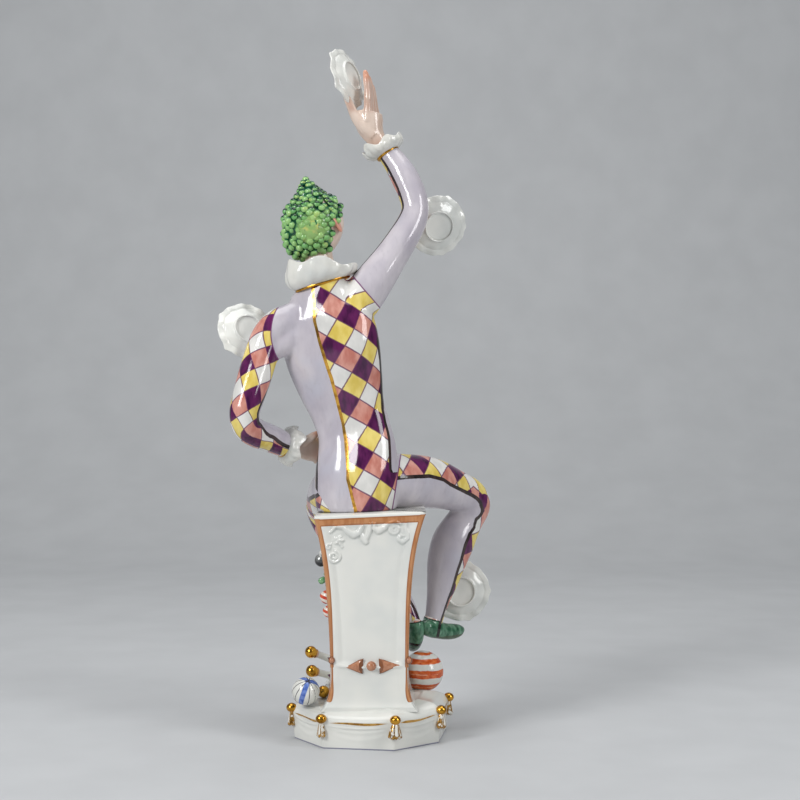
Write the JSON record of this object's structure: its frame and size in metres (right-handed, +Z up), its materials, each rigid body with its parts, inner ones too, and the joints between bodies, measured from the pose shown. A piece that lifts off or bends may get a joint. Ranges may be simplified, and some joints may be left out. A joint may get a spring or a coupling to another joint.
{
  "type": "porcelain juggler figurine",
  "caption": "Seated juggler figurine on a flared pedestal and eight-sided base, one arm raised, with small plates on its hand, arms and shin.",
  "frame": {"origin": "centre of the base's flat underside", "axes": "+Z up along the figure's height; the figure looks toward +Y, its back is on -Y, and its raised right arm is on +X"},
  "size_m": [0.1818, 0.1322, 0.452],
  "materials": {
    "porcelain": "glossy clear glaze over white porcelain with painted enamels and gilding",
    "plate_porcelain": "glossy white glaze"
  },
  "bodies": {
    "root": {"figurine": "porcelain", "raised_plate": "plate_porcelain", "elbow_plate": "plate_porcelain", "shoulder_plate": "plate_porcelain", "shin_plate": "plate_porcelain"}
  },
  "joints": []
}
